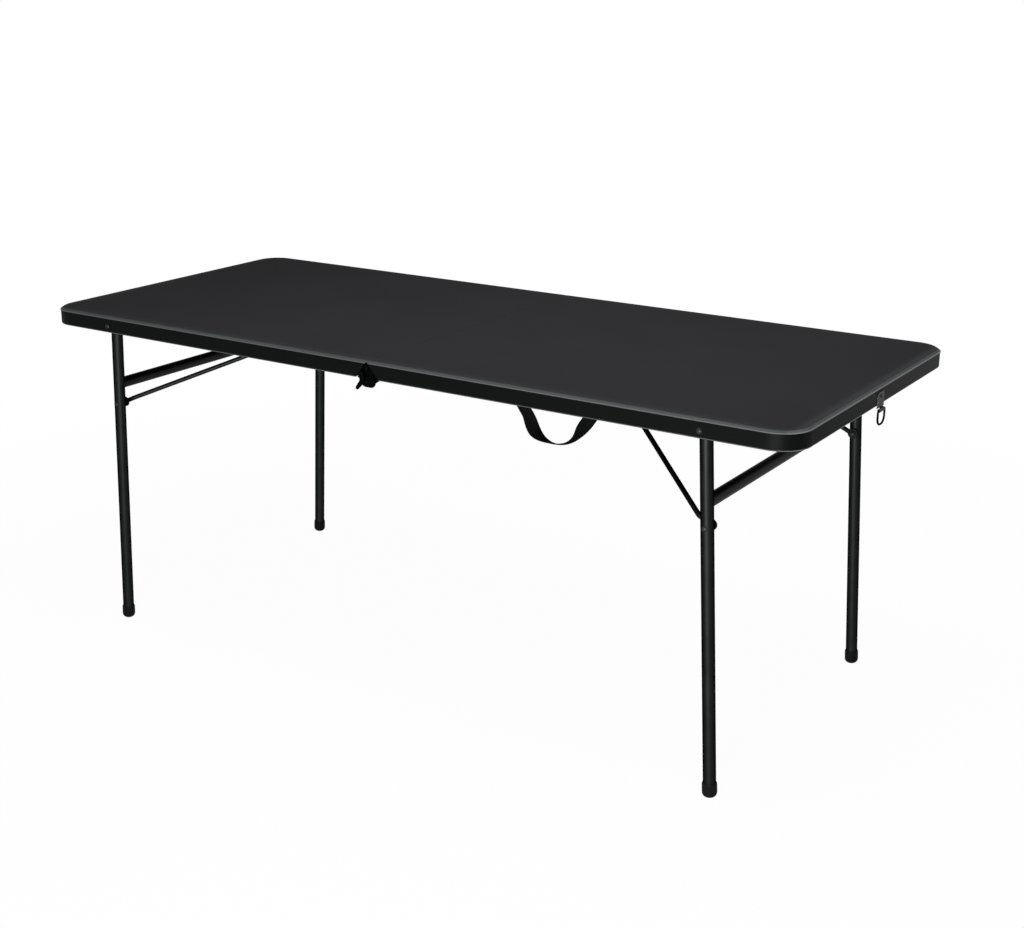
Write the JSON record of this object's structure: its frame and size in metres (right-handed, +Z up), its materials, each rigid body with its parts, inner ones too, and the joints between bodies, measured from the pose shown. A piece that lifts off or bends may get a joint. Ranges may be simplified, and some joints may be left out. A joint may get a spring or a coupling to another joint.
{
  "type": "folding table",
  "caption": "Fold-in-half rectangular table with a moulded top, folding tube leg frames held by wire braces, a centre hinge, a closing latch and a carrying strap.",
  "frame": {"origin": "on the floor, under the middle of the open table", "axes": "+X along the table towards the latch, +Y to the back, +Z up"},
  "size_m": [1.8431, 0.7729, 0.738],
  "materials": {
    "moulded_top": "fine-grained satin black",
    "painted_steel": "black powder coat",
    "painted_tube": "satin black powder coat",
    "foot_plastic": "matte black",
    "slide_plastic": "smooth black",
    "fasteners": "blackened steel",
    "latch_steel": "satin black enamel",
    "webbing": "woven black"
  },
  "bodies": {
    "left_half": {"left_top_panel": "moulded_top", "left_front_side_rail": "painted_steel", "left_front_hinge_leaf": "painted_steel", "left_rear_side_rail": "painted_steel", "left_rear_hinge_leaf": "painted_steel", "left_rail_screws": "fasteners", "left_leg_pivot_bolts": "fasteners", "left_leg_pivot_nuts": "fasteners", "left_leg_spacers": "slide_plastic", "left_brace_guide": "painted_steel", "left_guide_rivets": "fasteners", "left_leaf_rivets": "fasteners", "left_hinge_pins": "fasteners", "lock_lever_studs": "fasteners", "catch_plate": "latch_steel", "catch_rivets": "fasteners"},
    "hinge_link": {"front_hinge_link": "painted_steel", "rear_hinge_link": "painted_steel", "right_hinge_pins": "fasteners"},
    "right_half": {"right_top_panel": "moulded_top", "right_front_side_rail": "painted_steel", "right_front_hinge_leaf": "painted_steel", "right_rear_side_rail": "painted_steel", "right_rear_hinge_leaf": "painted_steel", "right_rail_screws": "fasteners", "right_leg_pivot_bolts": "fasteners", "right_leg_pivot_nuts": "fasteners", "right_leg_spacers": "slide_plastic", "right_brace_guide": "painted_steel", "right_guide_rivets": "fasteners", "right_leaf_rivets": "fasteners", "latch_plate": "latch_steel", "latch_rivet": "fasteners", "handle_strap_ends": "webbing", "handle_keepers": "painted_steel", "handle_rivets": "fasteners"},
    "left_legs": {"left_front_leg": "painted_tube", "left_front_foot_cap": "foot_plastic", "left_rear_leg": "painted_tube", "left_rear_foot_cap": "foot_plastic", "left_leg_crossbar": "painted_tube", "left_brace_bolts": "fasteners"},
    "right_legs": {"right_front_leg": "painted_tube", "right_front_foot_cap": "foot_plastic", "right_rear_leg": "painted_tube", "right_rear_foot_cap": "foot_plastic", "right_leg_crossbar": "painted_tube", "right_brace_bolts": "fasteners"},
    "left_brace": {"left_brace_rod": "painted_tube", "left_brace_slider": "slide_plastic"},
    "right_brace": {"right_brace_rod": "painted_tube", "right_brace_slider": "slide_plastic"},
    "latch_loop": {"latch_loop": "latch_steel"},
    "handle": {"handle_strap": "webbing"},
    "front_lock": {"front_lock_lever": "painted_steel"},
    "rear_lock": {"rear_lock_lever": "painted_steel"}
  },
  "joints": [
    {"name": "hinge_left_pin", "type": "hinge", "parent": "left_half", "child": "hinge_link", "pos_m": [-0.0065, 0, 0.694], "axis": [0, 1, 0], "range_deg": [0, 90]},
    {"name": "hinge_right_pin", "type": "hinge", "parent": "hinge_link", "child": "right_half", "pos_m": [0.0065, 0, 0.694], "axis": [0, 1, 0], "range_deg": [0, 90]},
    {"name": "left_leg_fold", "type": "hinge", "parent": "left_half", "child": "left_legs", "pos_m": [-0.7303, 0, 0.7145], "axis": [0, -1, 0], "range_deg": [0, 92.94]},
    {"name": "right_leg_fold", "type": "hinge", "parent": "right_half", "child": "right_legs", "pos_m": [0.7303, 0, 0.7145], "axis": [0, 1, 0], "range_deg": [0, 92.94]},
    {"name": "left_brace_fold", "type": "hinge", "parent": "left_legs", "child": "left_brace", "pos_m": [-0.73974, 0, 0.53074], "axis": [0, -1, 0], "range_deg": [-117.12, 0]},
    {"name": "right_brace_fold", "type": "hinge", "parent": "right_legs", "child": "right_brace", "pos_m": [0.73974, 0, 0.53074], "axis": [0, 1, 0], "range_deg": [-117.12, 0]},
    {"name": "latch_loop_swing", "type": "hinge", "parent": "right_half", "child": "latch_loop", "pos_m": [0.9176, 0, 0.692], "axis": [0, -1, 0], "range_deg": [-80, 150]},
    {"name": "handle_swing", "type": "hinge", "parent": "right_half", "child": "handle", "pos_m": [0.433, -0.36735, 0.6995], "axis": [-1, 0, 0], "range_deg": [0, 90]},
    {"name": "front_lock_turn", "type": "hinge", "parent": "left_half", "child": "front_lock", "pos_m": [-0.014, -0.3794, 0.711], "axis": [0, -1, 0], "range_deg": [0, 25]},
    {"name": "rear_lock_turn", "type": "hinge", "parent": "left_half", "child": "rear_lock", "pos_m": [-0.014, 0.3794, 0.711], "axis": [0, -1, 0], "range_deg": [0, 25]}
  ],
  "couplings": [
    {"joint": "left_brace_fold", "follows": "left_leg_fold", "ratio": -1.2601},
    {"joint": "right_brace_fold", "follows": "right_leg_fold", "ratio": -1.2601}
  ]
}
